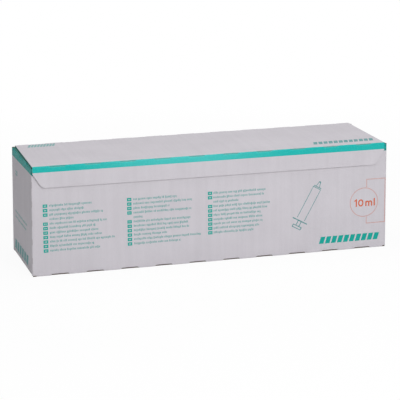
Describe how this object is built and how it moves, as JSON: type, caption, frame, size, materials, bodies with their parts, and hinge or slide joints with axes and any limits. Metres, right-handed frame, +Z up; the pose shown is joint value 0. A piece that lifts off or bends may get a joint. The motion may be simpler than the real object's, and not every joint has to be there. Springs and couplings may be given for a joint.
{
  "type": "corrugated carton",
  "caption": "Long white corrugated carton, square at the ends, with a lid hinged along the back and a front flap that closes over the front wall.",
  "frame": {"origin": "middle of the footprint, on the surface that the carton stands on", "axes": "+X along the carton to the right as seen from the front, -Y towards the front wall with the flap, +Z up"},
  "size_m": [0.425, 0.122, 0.1275],
  "materials": {
    "white_board": "matt white liner on brown corrugated board, with a light washboard of the flutes below",
    "lid_board": "the same white-lined board, with its flutes running from front to back",
    "flap_board": "the same white-lined board, with its flutes upright",
    "teal_print": "matt teal ink on white board",
    "grey_print": "fine grey-teal ink on white board",
    "orange_print": "fine orange ink on white board",
    "brown_board": "bare brown board where it is cut"
  },
  "bodies": {
    "carton": {"carton_body": "white_board"},
    "lid": {"lid": "lid_board"},
    "front_flap": {"front_flap": "flap_board"}
  },
  "joints": [
    {"name": "lid_hinge", "type": "hinge", "parent": "carton", "child": "lid", "pos_m": [0, 0.061, 0.1275], "axis": [-1, 0, 0], "range_deg": [0, 175]},
    {"name": "flap_hinge", "type": "hinge", "parent": "lid", "child": "front_flap", "pos_m": [0, -0.061, 0.1275], "axis": [-1, 0, 0], "range_deg": [0, 90]}
  ]
}
